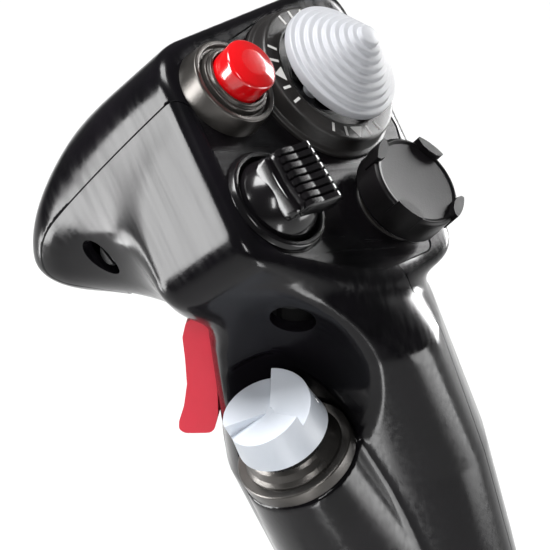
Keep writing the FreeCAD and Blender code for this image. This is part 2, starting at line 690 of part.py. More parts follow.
def left_hat():
    piece("ball_ring", cut(cone("ball_ring", "ball_ring - 0.6", "ball_ring_height"),
                           cylinder("ball_hole", "10", at(0, 0, -4))), BALL)
    module("ball_module", BALL, size("ball_centre") - 7.5)
    centre = size("ball_centre")
    floor = block("40", "40", "20", Vector(-20, -20, centre - 25))
    hollow = solid("Sphere", at(0, 0, centre), Radius="ball_radius - 2.2")
    ball = cut(solid("Sphere", at(0, 0, centre), Radius="ball_radius"), floor, hollow)
    piece("hat_ball", ball, BALL)
    pivot_ring("ball_pivot", BALL, centre)
    crown = cut(block("cap_width", "cap_length", "cap_top - cap_bottom",
                      Vector(-size("cap_width") / 2, -size("cap_length") / 2, size("cap_bottom"))),
                solid("Sphere", at(0, 0, centre), Radius="ball_radius + seat_gap"))
    piece("ridged_cap", crown, BALL)


def castle_hat():
    piece("castle_ring", cut(cylinder("castle_ring", "castle_ring_height"),
                             cylinder("hat_hole", "5", at(0, 0, -2))), CASTLE)
    module("castle_module", CASTLE, -size("face_plate"))
    pivot_ring("castle_pivot", CASTLE, -size("pivot_depth"))
    plunger("castle_plunger", CASTLE, -size("pivot_depth"))
    cup = cut(cylinder("castle_radius", "castle_deck - castle_base", at(0, 0, size("castle_base"))),
              cylinder("castle_radius - 2.4", "3", at(0, 0, size("castle_deck") - 0.8)))
    rim = cut(cylinder("castle_radius + 0.6", "castle_top - castle_base - 3.6",
                       at(0, 0, size("castle_base") + 3.6)),
              cylinder("castle_radius - 2.6", "20", at(0, 0, 0)))
    bars = []
    for quarter in (45, 135):
        bar = block("60", "lug_width", "20", Vector(-30, -size("lug_width") / 2, 0))
        bar.Placement = at(0, 0, 0, Rotation(Z_AXIS, quarter)) * bar.Placement
        bars.append(bar)
    lugs = doc.addObject("Part::Common", "Lugs")
    lugs.Base = rim
    lugs.Tool = fuse(*bars)
    stem = cylinder("stem_radius", "castle_base + pivot_depth + 2", at(0, 0, -size("pivot_depth") - 1))
    piece("castle_hat", fuse(cup, lugs, stem), CASTLE)


def side_knob():
    """The thumb knob on the pod, with three ramps on its top."""
    seat = cut(cylinder("pod_radius", "seat_height", at(0, 0, -size("seat_height"))),
               cylinder("seat_bore", "20", at(0, 0, -10)))
    piece("knob_seat", seat, POD)
    bezel = cut(cone("bezel_radius", "bezel_radius - 0.8", "bezel_height"),
                cylinder("bezel_bore", "20", at(0, 0, -10)))
    piece("knob_bezel", bezel, POD)
    module("knob_module", POD, -size("seat_height"))
    pivot_ring("knob_pivot", POD, -size("pivot_depth") - 1)
    plunger("knob_plunger", POD, -size("pivot_depth") - 1)
    drum = cylinder("knob_radius", "knob_deck - knob_bottom", at(0, 0, size("knob_bottom")))
    ramps = []
    for sector in range(3):
        wedge = solid("Cylinder", Radius="knob_radius - 0.6", Height="knob_ramp", Angle="118")
        slope = block("80", "40", "20", Vector(-40, 0, 0))
        slope.Placement = at(0, 0, 0, Rotation(X_AXIS, 14))
        ramp = cut(wedge, slope)
        ramp.Placement = at(0, 0, size("knob_deck"), Rotation(Z_AXIS, 120 * sector))
        ramps.append(ramp)
    stem = cylinder("stem_radius", "knob_bottom + pivot_depth + 3", at(0, 0, -size("pivot_depth") - 2))
    hub = cylinder("stem_radius", "knob_ramp", at(0, 0, size("knob_deck")))
    piece("side_knob", fuse(drum, stem, hub, *ramps), POD)


# ---------------------------------------------------------------- trigger and paddle

TRIGGER_SIDE = ((9.5, 0.5), (10.4, -3), (10.2, -8), (10.2, -14), (11.2, -19.5), (12.4, -23), (12.6, -25),
                (11.4, -25.9), (5.4, -25.6), (4.2, -21), (4, -15), (2.5, -7), (-3, -4), (-4, 0),
                (-2.5, 4), (2, 4.6), (6, 3))
PADDLE_SIDE = ((-4, 0), (-2.8, -3), (1, -4), (8, -3.4), (12.5, 2), (17.5, 14), (21.5, 26), (26, 36),
               (26, 39), (23.5, 39.5), (21.5, 37), (17.5, 27), (13, 15), (8, 5), (0, 4), (-3, 3))


def lever(label, points, width, pin, place):
    """A flat lever cut from the side, X wide, with a bore for its pin."""
    body = doc.addObject("PartDesign::Body", label.title())
    side = sketch_on(body, "YZ_Plane")
    outline(side, list(points))
    padded(body, side, width, both_ways=True)
    hole = sketch_on(body, "YZ_Plane")
    circles(hole, [(0, 0)], pin)
    body.Tip = pocket(body, hole, both_ways=True)
    piece(label, body, Placement(place, Rotation()))


def cross_pin(label, centre, length):
    turned = at(-length / 2, 0, 0, ALONG_X)
    piece(label, cylinder("trigger_pin", str(length), turned), Placement(centre, Rotation()) * turned)


def trigger_group():
    lever("trigger", TRIGGER_SIDE, "trigger_width", "trigger_pin + running_gap", TRIGGER_PIVOT)
    cross_pin("trigger_pin_shaft", TRIGGER_PIVOT, 18.6)
    cheeks = [block("bracket_wall", "11", "11", Vector(x, -8, -5)) for x in (-9.2, 7.7)]
    bridge = block("18.4", "1.6", "11", Vector(-9.2, -9.6, -5))
    bore = cylinder("trigger_pin + seat_gap", "60", at(-30, 0, 0, ALONG_X))
    piece("trigger_bracket", cut(fuse(bridge, *cheeks), bore), Placement(TRIGGER_PIVOT, Rotation()))
    piece("trigger_switch", block("6", "6", "10", Vector(0, 0, 0)),
          Placement(TRIGGER_PIVOT + Vector(-3, -15.6, -5), Rotation()))
    lever("paddle", PADDLE_SIDE, "paddle_width", "trigger_pin + running_gap", PADDLE_PIVOT)
    cross_pin("paddle_pin", PADDLE_PIVOT, 27)


def small_torsion(label, centre):
    feature(label, coil(2.6, 0.35, 0.8, 0.8), Placement(centre, ALONG_X))


def mounting_tube():
    """The tube that ties the grip to the collar, leaning with the handle."""
    lean = Rotation(X_AXIS, 12)
    tube = cut(cylinder("tube_radius", "tube_length"), cylinder("tube_bore", "200", at(0, 0, -10)))
    piece("mounting_tube", tube, Placement(ANCHOR + Vector(0, -54, -162.4), lean.inverted()))


# ---------------------------------------------------------------- build

base_plate()
base_housing()
feet_and_screws()
opening_ring()
cable_socket()
base_board()
gimbal_frame()
gimbal()
torsion_spring("pitch_spring", Vector(30, 0, size("pivot_height")), ALONG_X, 1)
torsion_spring("roll_spring", Vector(0, 24, size("pivot_height")), ALONG_Y, 1)
sensor("pitch_sensor", at(-53, 0, size("pivot_height"), Rotation(Y_AXIS, -90)))
sensor("roll_sensor", at(0, -27.9, size("pivot_height"), Rotation(X_AXIS, 90)))
dust_dome()
shaft_and_collar()
shells()
shell_screws()
face_plate()
trim_switch()
fire_button()
left_hat()
castle_hat()
side_knob()
trigger_group()
small_torsion("trigger_spring", TRIGGER_PIVOT + Vector(6.45, 0, 0))
small_torsion("paddle_spring", PADDLE_PIVOT + Vector(8.2, 0, 0))
mounting_tube()

doc.recompute()
failed = [item.Label for item in doc.Objects if {"Invalid", "Error"} & set(item.State)]
failed += [item.Label for item in pieces if item.Shape.isNull() or not item.Shape.isValid()]
if failed:
    raise RuntimeError("failed: " + ", ".join(failed))
os.makedirs("parts", exist_ok=True)
for item in pieces:
    item.Shape.exportStep(f"parts/{item.Label}.step")
print(len(pieces), "sub-parts")
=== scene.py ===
"""Flight joystick: the looks of every piece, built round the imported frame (metres)."""

import json
import math

import bmesh
import bpy
import numpy as np
from mathutils import Matrix, Vector


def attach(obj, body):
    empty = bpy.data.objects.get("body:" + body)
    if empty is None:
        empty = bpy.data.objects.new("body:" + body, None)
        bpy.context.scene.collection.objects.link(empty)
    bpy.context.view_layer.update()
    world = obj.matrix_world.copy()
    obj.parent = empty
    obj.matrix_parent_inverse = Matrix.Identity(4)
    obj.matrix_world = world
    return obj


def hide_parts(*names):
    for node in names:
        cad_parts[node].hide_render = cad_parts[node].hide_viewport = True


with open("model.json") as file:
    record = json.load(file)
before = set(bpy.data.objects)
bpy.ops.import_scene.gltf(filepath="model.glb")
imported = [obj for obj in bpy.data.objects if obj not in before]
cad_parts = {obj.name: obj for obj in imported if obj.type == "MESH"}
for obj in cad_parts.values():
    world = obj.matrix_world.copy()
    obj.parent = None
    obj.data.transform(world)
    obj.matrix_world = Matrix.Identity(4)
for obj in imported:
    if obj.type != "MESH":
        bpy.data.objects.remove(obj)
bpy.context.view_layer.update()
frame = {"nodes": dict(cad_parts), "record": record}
nodes = frame["nodes"]
joints = {joint["name"]: joint for joint in frame["record"]["behaviour"]["joints"]}
MM = 0.001

# ------------------------------------------------------------------ places, from the joints


def two_axis_place(first, second, depth):
    """The place of a control that tilts on two joints: x and y along their axes, origin on its seat."""
    x_axis = Vector(joints[first]["axis"]).normalized()
    y_axis = Vector(joints[second]["axis"]).normalized()
    z_axis = x_axis.cross(y_axis)
    origin = Vector(joints[first]["pos_m"]) / MM + z_axis * depth
    turn = Matrix((x_axis, y_axis, z_axis)).transposed()
    return Matrix.Translation(origin) @ turn.to_4x4()


TRIM = two_axis_place("trim_fore_aft", "trim_left_right", 6)
BALL = two_axis_place("ball_fore_aft", "ball_left_right", 1)
CASTLE = two_axis_place("castle_fore_aft", "castle_left_right", 6)
POD = two_axis_place("knob_fore_aft", "knob_left_right", 7)
TRIGGER = Matrix.Translation(Vector(joints["trigger_pull"]["pos_m"]) / MM)
PADDLE = Matrix.Translation(Vector(joints["paddle_pull"]["pos_m"]) / MM)
ANCHOR = Vector((0, 54, 274))        # where the front seam meets the face
FACE = Matrix.Translation(ANCHOR) @ TRIM.to_3x3().to_4x4()
BUTTON = FACE @ Matrix.Translation((12, 0.6, 0))
RIGHT, UP, OUT = (np.array(FACE.col[axis].to_3d()) for axis in range(3))

# ------------------------------------------------------------------ materials


def node(tree, kind, **values):
    """A shader node with some of its settings."""
    made = tree.nodes.new(kind)
    for name, value in values.items():
        if hasattr(made, name):
            setattr(made, name, value)
        else:
            made.inputs[name.replace("_", " ")].default_value = value
    return made


def grain(tree, scale, detail=6.0, stretch=(1, 1, 1), turn=(0, 0, 0), roughness=0.55):
    """Noise in the object's own coordinates: turned to the given axes, then drawn out along them."""
    place = tree.nodes.new("ShaderNodeTexCoord")
    mapping = node(tree, "ShaderNodeMapping", vector_type="TEXTURE")
    mapping.inputs["Scale"].default_value = stretch
    mapping.inputs["Rotation"].default_value = turn
    noise = node(tree, "ShaderNodeTexNoise")
    noise.inputs["Scale"].default_value = scale
    noise.inputs["Detail"].default_value = detail
    noise.inputs["Roughness"].default_value = roughness
    tree.links.new(place.outputs["Object"], mapping.inputs["Vector"])
    tree.links.new(mapping.outputs["Vector"], noise.inputs["Vector"])
    return noise.outputs["Fac"]


def ranged(tree, value, low, high, start=0.3, end=0.7):
    """A value moved from one range to another."""
    made = node(tree, "ShaderNodeMapRange")
    for name, number in (("From Min", start), ("From Max", end), ("To Min", low), ("To Max", high)):
        made.inputs[name].default_value = number
    tree.links.new(value, made.inputs["Value"])
    return made.outputs["Result"]


def mixed(tree, factor, first, second):
    """A colour between two, by a factor."""
    made = node(tree, "ShaderNodeMix", data_type="RGBA")
    for socket, value in (("A", first), ("B", second)):
        sockets = [item for item in made.inputs if item.name == socket and item.type == "RGBA"]
        sockets[0].default_value = (*value, 1)
    factor_socket = [item for item in made.inputs if item.name == "Factor" and item.type == "VALUE"][0]
    tree.links.new(factor, factor_socket)
    return [item for item in made.outputs if item.type == "RGBA"][0]


STREAK_SHARE = 2.0      # how much higher the brushing stands than the fine grain


def finish(name, dark, light, rough, metallic=0.0, coat=0.0, coat_rough=0.1, specular=0.5,
           patch=60.0, fine=2600.0, bump=0.06, depth=0.00003, brushed=None):
    """One surface: colour and roughness wander, a fine grain lifts it, and an optional brushing."""
    made = bpy.data.materials.new(name)
    made.use_nodes = True
    tree = made.node_tree
    shader = tree.nodes["Principled BSDF"]
    shader.inputs["Metallic"].default_value = metallic
    shader.inputs["Specular IOR Level"].default_value = specular
    shader.inputs["Coat Weight"].default_value = coat
    shader.inputs["Coat Roughness"].default_value = coat_rough
    broad = grain(tree, patch, 4)
    small = grain(tree, fine, 3)
    tree.links.new(mixed(tree, ranged(tree, broad, 0, 1), dark, light), shader.inputs["Base Color"])
    texture = small
    if brushed:
        streaks = grain(tree, brushed["scale"], 2, brushed["stretch"], brushed.get("turn", (0, 0, 0)), 0.5)
        summed = node(tree, "ShaderNodeMath", operation="MULTIPLY_ADD")
        summed.inputs[1].default_value = STREAK_SHARE
        tree.links.new(streaks, summed.inputs[0])
        tree.links.new(small, summed.inputs[2])
        texture = summed.outputs["Value"]
        tree.links.new(ranged(tree, streaks, rough[0], rough[1]), shader.inputs["Roughness"])
    else:
        tree.links.new(ranged(tree, broad, rough[0], rough[1]), shader.inputs["Roughness"])
    lift = node(tree, "ShaderNodeBump")
    lift.inputs["Strength"].default_value = bump
    lift.inputs["Distance"].default_value = depth
    tree.links.new(texture, lift.inputs["Height"])
    tree.links.new(lift.outputs["Normal"], shader.inputs["Normal"])
    return made


LOOKS = {
    "shell_black": finish("shell_black", (0.0025, 0.0025, 0.003), (0.006, 0.005, 0.007), (0.13, 0.24),
                          specular=0.22, bump=0.25, depth=0.00001, fine=1500,
                          brushed={"scale": 900, "stretch": (1, 22, 1), "turn": FACE.to_euler()}),
    "face_black": finish("face_black", (0.003, 0.003, 0.0035), (0.006, 0.005, 0.006), (0.16, 0.28),
                         specular=0.25, bump=0.3, depth=0.000012, fine=1500,
                         brushed={"scale": 1300, "stretch": (18, 1, 1), "turn": FACE.to_euler()}),
    "gunmetal": finish("gunmetal", (0.05, 0.047, 0.044), (0.11, 0.103, 0.096), (0.24, 0.38), metallic=0.75,
                       fine=3200, bump=0.35, depth=0.00008),
    "bezel_black": finish("bezel_black", (0.008, 0.007, 0.007), (0.02, 0.018, 0.017), (0.34, 0.5),
                          fine=3000, bump=0.5, depth=0.00009),
    "hat_grey": finish("hat_grey", (0.46, 0.47, 0.50), (0.56, 0.57, 0.60), (0.42, 0.55), bump=0.1),
    "button_red": finish("button_red", (0.66, 0.002, 0.004), (0.80, 0.004, 0.008), (0.12, 0.2), coat=0.6,
                         coat_rough=0.05, bump=0.03),
    "gloss_black": finish("gloss_black", (0.003, 0.003, 0.0035), (0.007, 0.006, 0.007), (0.14, 0.22),
                          specular=0.3, coat=0.2, coat_rough=0.08, bump=0.05),
    "castle_black": finish("castle_black", (0.003, 0.003, 0.003), (0.007, 0.006, 0.007), (0.3, 0.42),
                           specular=0.12, bump=0.35, depth=0.00006),
    "knob_white": finish("knob_white", (0.66, 0.71, 0.78), (0.74, 0.78, 0.85), (0.38, 0.5), bump=0.12),
    "trigger_red": finish("trigger_red", (0.80, 0.003, 0.03), (0.90, 0.006, 0.045), (0.4, 0.52), fine=3400,
                          bump=0.45, depth=0.00008),
    "paddle_black": finish("paddle_black", (0.011, 0.011, 0.012), (0.02, 0.02, 0.021), (0.3, 0.45), bump=0.3),
    "housing_black": finish("housing_black", (0.014, 0.014, 0.016), (0.024, 0.024, 0.026), (0.42, 0.58),
                            fine=1500, bump=0.7, depth=0.0001),
    "plate_steel": finish("plate_steel", (0.010, 0.010, 0.011), (0.018, 0.018, 0.019), (0.4, 0.55),
                          specular=0.3, bump=0.3),
    "anodised_metal": finish("anodised_metal", (0.05, 0.05, 0.054), (0.085, 0.085, 0.09), (0.28, 0.42),
                             metallic=0.9, bump=0.3, brushed={"scale": 1500, "stretch": (20, 20, 1)}),
    "turned_steel": finish("turned_steel", (0.45, 0.45, 0.46), (0.62, 0.62, 0.62), (0.22, 0.36), metallic=1.0,
                           bump=0.2, brushed={"scale": 1800, "stretch": (20, 20, 1)}),
    "bronze_bush": finish("bronze_bush", (0.45, 0.29, 0.12), (0.62, 0.42, 0.20), (0.3, 0.45), metallic=1.0),
    "spring_steel": finish("spring_steel", (0.36, 0.36, 0.37), (0.55, 0.55, 0.56), (0.2, 0.35), metallic=1.0),
    "dome_black": finish("dome_black", (0.010, 0.010, 0.011), (0.018, 0.018, 0.019), (0.2, 0.32), bump=0.15),
    "foot_rubber": finish("foot_rubber", (0.012, 0.012, 0.012), (0.022, 0.022, 0.022), (0.7, 0.85), bump=0.6),
    "board_green": finish("board_green", (0.01, 0.10, 0.04), (0.02, 0.16, 0.06), (0.25, 0.4), patch=400),
    "module_black": finish("module_black", (0.018, 0.018, 0.018), (0.03, 0.03, 0.03), (0.5, 0.65), bump=0.3),
    "pivot_white": finish("pivot_white", (0.62, 0.62, 0.60), (0.72, 0.72, 0.70), (0.4, 0.55)),
    "socket_metal": finish("socket_metal", (0.5, 0.5, 0.5), (0.64, 0.64, 0.64), (0.25, 0.4), metallic=1.0),
    "legend_white": finish("legend_white", (0.62, 0.62, 0.60), (0.74, 0.74, 0.72), (0.5, 0.65)),
}

# the frame's own nodes that stay visible
for entry in frame["record"]["subparts"]:
    cad_node = nodes[entry["node"]]
    cad_node.data.materials.clear()
    cad_node.data.materials.append(LOOKS[entry["material_slot"]])

# ------------------------------------------------------------------ building pieces


def place_piece(name, body, look, mesh, stands_for=(), sharp=32):
    """Link a finished mesh, smooth it up to the sharp angle and let it ride."""
    mesh.polygons.foreach_set("use_smooth", [True] * len(mesh.polygons))
    mesh.set_sharp_from_angle(angle=math.radians(sharp))
    mesh.materials.clear()
    mesh.materials.append(LOOKS[look])
    made = bpy.data.objects.new(name, mesh)
    bpy.context.scene.collection.objects.link(made)
    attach(made, body)
    if stands_for:
        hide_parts(*stands_for)
    return made


def soften(work, width, angle=28, segments=3):
    """Round every edge of the bmesh that is sharper than the angle."""
    limit = math.radians(angle)
    edges = [edge for edge in work.edges if len(edge.link_faces) == 2 and edge.calc_face_angle() > limit]
    if edges and width:
        bmesh.ops.bevel(work, geom=edges, offset=width, segments=segments, profile=0.5, affect="EDGES",
                        clamp_overlap=True)


def built(name, body, look, work, place=Matrix(), bevel=0.0, stands_for=(), sharp=32):
    """Turn a bmesh in millimetres into a piece of the model."""
    soften(work, bevel)
    bmesh.ops.recalc_face_normals(work, faces=work.faces)
    work.transform(Matrix.Scale(MM, 4) @ place)
    mesh = bpy.data.meshes.new(name)
    work.to_mesh(mesh)
    work.free()
    return place_piece(name, body, look, mesh, stands_for, sharp)


def filleted(points, radii, closed=True, steps=4):
    """A polyline whose corners are replaced with arcs."""
    if not hasattr(radii, "__len__"):
        radii = [radii] * len(points)
    result = []
    count = len(points)
    for index, (point, radius) in enumerate(zip(points, radii)):
        here = Vector(point)
        if not closed and index in (0, count - 1) or radius <= 0:
            result.append(tuple(here))
            continue
        before, after = Vector(points[index - 1]) - here, Vector(points[(index + 1) % count]) - here
        angle = before.angle(after)
        if angle > math.radians(176):
            result.append(tuple(here))
            continue
        reach = min(radius / math.tan(angle / 2), before.length * 0.48, after.length * 0.48)
        first, last = here + before.normalized() * reach, here + after.normalized() * reach
        for step in range(steps + 1):
            t = step / steps
            result.append(tuple(first * (1 - t) ** 2 + here * 2 * t * (1 - t) + last * t * t))
    return result


def turned(profile, segments=96):
    """A closed solid turned from (radius, height) points, both ends on the axis or a closed ring."""
    work = bmesh.new()
    rings = []
    for radius, height in profile:
        if radius < 1e-6:
            rings.append([work.verts.new((0, 0, height))])
            continue
        angles = (math.tau * count / segments for count in range(segments))
        rings.append([work.verts.new((radius * math.cos(a), radius * math.sin(a), height)) for a in angles])
    pairs = list(zip(rings, rings[1:]))
    if len(rings[0]) > 1 or len(rings[-1]) > 1:
        pairs.append((rings[-1], rings[0]))
    for lower, upper in pairs:
        for count in range(segments):
            following = (count + 1) % segments
            corners = [lower[count % len(lower)], lower[following % len(lower)],
                       upper[following % len(upper)], upper[count % len(upper)]]
            corners = list(dict.fromkeys(corners))
            if len(corners) > 2:
                work.faces.new(corners)
    return work


def prism(points, low, high):
    """A block with a flat outline between two heights."""
    work = bmesh.new()
    lower = [work.verts.new((x, y, low)) for x, y in points]
    upper = [work.verts.new((x, y, high)) for x, y in points]
    count = len(points)
    work.faces.new(lower[::-1])
    work.faces.new(upper)
    for index in range(count):
        following = (index + 1) % count
        work.faces.new((lower[index], lower[following], upper[following], upper[index]))
    return work


def merged(target, other, place=Matrix()):
    """Add one bmesh to another."""
    other.transform(place)
    loose = bpy.data.meshes.new("loose")
    other.to_mesh(loose)
    other.free()
    target.from_mesh(loose)
    bpy.data.meshes.remove(loose)
    return target


def circle(radius, count=64):
    angles = (math.tau * step / count for step in range(count))
    return [(radius * math.cos(angle), radius * math.sin(angle)) for angle in angles]


def mesh_of(work, place=Matrix()):
    """A mesh in metres from a bmesh in millimetres."""
    bmesh.ops.recalc_face_normals(work, faces=work.faces)
    work.transform(Matrix.Scale(MM, 4) @ place)
    mesh = bpy.data.meshes.new("cutter")
    work.to_mesh(mesh)
    work.free()
    return mesh


def carved(mesh, cutter):
    """The first mesh less the second."""
    body = bpy.data.objects.new("carve_body", mesh)
    tool = bpy.data.objects.new("carve_tool", cutter)
    for item in (body, tool):
        bpy.context.scene.collection.objects.link(item)
    change = body.modifiers.new("carve", "BOOLEAN")
    change.operation, change.object, change.solver = "DIFFERENCE", tool, "EXACT"
    change.use_self = True
    evaluated = body.evaluated_get(bpy.context.evaluated_depsgraph_get())
    result = bpy.data.meshes.new_from_object(evaluated)
    for item in (body, tool):
        bpy.data.objects.remove(item)
    return result

# ------------------------------------------------------------------ the grip's form, in mm from the anchor


def unit(direction):
    """The direction at length one."""
    return np.array(direction, float) / np.linalg.norm(direction)


def both(first, second, blend):
    """Inside both forms, with their meeting edge rounded."""
    share = np.clip(0.5 + 0.5 * (first - second) / blend, 0, 1)
    return second * (1 - share) + first * share + blend * share * (1 - share)


def either(first, second, blend):
    """Inside one form or the other, with a rounded corner where they meet."""
    return -both(-first, -second, blend)


POD_CENTRE = np.array(POD.translation - ANCHOR)
POD_OUT = np.array(POD.col[2].to_3d())
FACE_AXES = np.array([RIGHT, UP, OUT])
HOLLOW_CENTRE, HOLLOW_RADII = np.array([-31, -22, -55]), np.array([20, 25, 27])
GRIP_WALL = 2.5
GRIP_TWIST = math.radians(14)
GRIP_HEIGHTS = np.array([-170, -135, -104, -80, -50, -30, -20])
GRIP_BACK = (-76, -69, -63, -58, -49, -39, -36)
GRIP_FRONT = (-32, -24, -14, -4.5, -2.5, -4, -4)
GRIP_LEFT = (-18, -16, -15, -16, -19, -17, -17)
GRIP_RIGHT = (21, 20, 21.5, 23, 25, 25, 25)


# the fold along the bottom of the left flank: its slope, and how that changes down the face
FOLD_START, FOLD_RISE, FOLD_CURVE = -0.108, -0.0065, 0.0018
# how far the brow's two planes and the prow's stand from the anchor
BROW, LOW_BROW, PROW = 12.24, 15.51, 38.3


def head(face_points, points):
    """The head in the face's frame: flats and one curved fold, with rounded edges."""
    u, w, n = (face_points[..., axis] for axis in range(3))
    down = np.clip(-w, -20, 45)
    flank = (-u + 0.2 * n - 0.4) / 1.02
    slope = FOLD_START + FOLD_RISE * down + FOLD_CURVE * down * down
    change = (FOLD_RISE + 2 * FOLD_CURVE * down) * np.clip(-22 - n, -5, 40)
    fold = (-4.9 + slope * (-22 - n) - u) / np.sqrt(1 + slope ** 2 + change ** 2)
    form = both(flank, fold, 2.5)
    brow = both(face_points @ unit((-0.28, 0.96, 0)) - BROW,
                face_points @ unit((-0.27, 0.93, 0)) - LOW_BROW, 8)
    form = both(form, brow, 9)
    form = both(form, face_points @ unit((-0.15, 0.60, -0.77)) - PROW, 10)
    form = both(form, -n - 59.3, 10)
    form = both(form, -points[..., 2] - 47.7, 9)
    right = both(face_points @ unit((1, 0, 0)) - 60.5, face_points @ unit((0.77, -0.05, -0.62)) - 50, 6)
    form = both(form, right, 10)
    heel = both(face_points @ unit((-0.3, -0.95, 0)) - 34.9, face_points @ unit((0.25, -0.97, 0)) - 52.3, 10)
    form = both(form, heel, 6)
    return both(form, n - 0.3, 3)


def handle(face_points, points):
    """The squarish, leaning handle, given a twist."""
    height = points[..., 2]
    back, front, left, right = (np.interp(height, GRIP_HEIGHTS, side)
                                for side in (GRIP_BACK, GRIP_FRONT, GRIP_LEFT, GRIP_RIGHT))
    half_x, half_y = (right - left) / 2, (front - back) / 2
    x, y = points[..., 0] - (left + right) / 2, points[..., 1] - (back + front) / 2
    c, s = math.cos(GRIP_TWIST), math.sin(GRIP_TWIST)
    across = (c * x + s * y) / half_x
    along = (c * y - s * x) / half_y
    form = ((np.abs(across) ** 3 + np.abs(along) ** 3) ** (1 / 3) - 1) * np.minimum(half_x, half_y)
    form = both(form, height + 20, 10)
    form = both(form, face_points[..., 2] + 0.4, 5)
    return both(form, -height - 164, 1.5)


def outer_form(points):
    """Head, handle and pod, less the thumb hollow under the flank and the room for the knob."""
    face_points = points @ FACE_AXES.T
    form = either(head(face_points, points), handle(face_points, points), 4)
    from_hollow = points - HOLLOW_CENTRE
    near = np.linalg.norm(from_hollow / HOLLOW_RADII, axis=-1)
    steep = np.linalg.norm(from_hollow / HOLLOW_RADII ** 2, axis=-1)
    form = both(form, -near * (near - 1) / np.maximum(steep, 1e-6), 2)
    from_pod = points - POD_CENTRE
    height = from_pod @ POD_OUT
    radius = np.linalg.norm(from_pod - height[..., None] * POD_OUT, axis=-1)
    pod = both(both(radius - 12.3 - np.clip(-height, 0, 60) * 0.09, height + 2.8, 1.2), -(height + 60), 3)
    form = either(form, pod, 1.6)
    room = both(both(radius - 12.6, -(height + 2.8), 0.5), height - 17, 3)
    return both(form, -room, 0.8)


def shell_form(points):
    """The wall between the outside and the hollow."""
    outside = outer_form(points)
    return np.maximum(outside, -(outside + GRIP_WALL))


def surface_net(form, low, high, step):
    """A quad mesh of the form's zero surface on a regular grid, drawn back onto the surface."""
    low, high = np.array(low, float), np.array(high, float)
    block = 6
    blocks = np.ceil((high - low) / step / block).astype(int)
    shape = blocks * block

    def grid(counts, spacing, start):
        axes = [start[axis] + spacing * np.arange(counts[axis]) for axis in range(3)]
        return np.stack(np.meshgrid(*axes, indexing="ij"), -1)

    coarse = form(grid(blocks, step * block, low + step * (block - 1) / 2))
    near = np.abs(coarse) < step * block
    field = np.repeat(np.repeat(np.repeat(coarse, block, 0), block, 1), block, 2).astype(np.float32)
    active = np.repeat(np.repeat(np.repeat(near, block, 0), block, 1), block, 2)
    where = np.argwhere(active)
    field[active] = form(low + step * where)
    inside = field < 0
    corners = [(i, j, k) for i in (0, 1) for j in (0, 1) for k in (0, 1)]
    cells = shape - 1

    def shifted(array, offset):
        return array[tuple(slice(o, o + c) for o, c in zip(offset, cells))]

    count = sum(shifted(inside, corner).astype(np.int8) for corner in corners)
    cell_ids = np.argwhere((count > 0) & (count < 8))
    index = -np.ones(cells, np.int64)
    index[tuple(cell_ids.T)] = np.arange(len(cell_ids))
    total, hits = np.zeros((len(cell_ids), 3)), np.zeros(len(cell_ids))
    for corner in corners:
        for axis in range(3):
            if corner[axis]:
                continue
            other = list(corner)
            other[axis] = 1
            a = field[tuple((cell_ids + corner).T)]
            b = field[tuple((cell_ids + other).T)]
            crossing = (a < 0) != (b < 0)
            share = np.where(crossing, a / np.where(crossing, a - b, 1), 0)
            point = np.array(corner, float) + share[:, None] * (np.array(other) - corner)
            total += point * crossing[:, None]
            hits += crossing
    verts = low + step * (cell_ids + total / hits[:, None])
    for _ in range(2):
        reach = 0.05
        value = form(verts)
        slope = np.stack([form(verts + reach * np.eye(3)[axis]) - form(verts - reach * np.eye(3)[axis])
                          for axis in range(3)], -1) / (2 * reach)
        move = value[:, None] * slope / np.maximum((slope ** 2).sum(1, keepdims=True), 0.2)
        verts = verts - np.clip(move, -step / 2, step / 2)
    faces = []
    for axis in range(3):
        first, second = (axis + 1) % 3, (axis + 2) % 3
        ahead = [slice(None)] * 3
        ahead[axis] = slice(1, None)
        behind = [slice(None)] * 3
        behind[axis] = slice(None, -1)
        flips = np.argwhere(inside[tuple(ahead)] != inside[tuple(behind)])
        flips = flips[(flips[:, first] > 0) & (flips[:, second] > 0)]
        flips = flips[np.all(flips < np.array(cells), axis=1)]
        ring = []
        for a, b in ((0, 0), (1, 0), (1, 1), (0, 1)):
            cell = flips.copy()
            cell[:, first] -= a
            cell[:, second] -= b
            ring.append(index[tuple(cell.T)])
        quads = np.stack(ring, 1)
        outward = inside[tuple(flips.T)]
        quads[~outward] = quads[~outward][:, ::-1]
        faces.append(quads[(quads >= 0).all(1)])
    return verts, np.concatenate(faces)


def grip_half(whole, side):
    """Half of the hollow grip, cut at the parting plane with a hair of a gap and its wall closed."""
    work = bmesh.new()
    work.from_mesh(whole)
    normal = Vector((side, 0, 0))
    bmesh.ops.bisect_plane(work, geom=work.verts[:] + work.edges[:] + work.faces[:], dist=1e-7,
                           plane_co=normal * 0.12 * MM, plane_no=normal, clear_inner=True)
    rim = [edge for edge in work.edges if edge.is_boundary]
    bmesh.ops.triangle_fill(work, edges=rim, use_beauty=True, use_dissolve=False, normal=-normal)
    bmesh.ops.recalc_face_normals(work, faces=work.faces)
    mesh = bpy.data.meshes.new("half")
    work.to_mesh(mesh)
    work.free()
    return mesh


PLATE_CORNERS = ((3, 5), (3, -30), (8, -36), (20, -39.5), (34, -41.5), (50, -37.5), (57, -8), (52, 16),
                 (46, 19.5), (30, 17))


def grown(points, distance):
    """The outline moved out by a distance."""
    result = []
    count = len(points)
    area = sum(points[i - 1][0] * points[i][1] - points[i][0] * points[i - 1][1] for i in range(count))
    side = 1 if area > 0 else -1
    for index in range(count):
        before, here, after = (Vector(points[(index + offset) % count]) for offset in (-1, 0, 1))
        first, last = (here - before).normalized(), (after - here).normalized()
        normal = (Vector((first.y, -first.x)) + Vector((last.y, -last.x))).normalized() * side
        slant = normal.dot(Vector((first.y, -first.x)) * side)
        result.append(tuple(here + normal * distance / max(0.5, slant)))
    return result


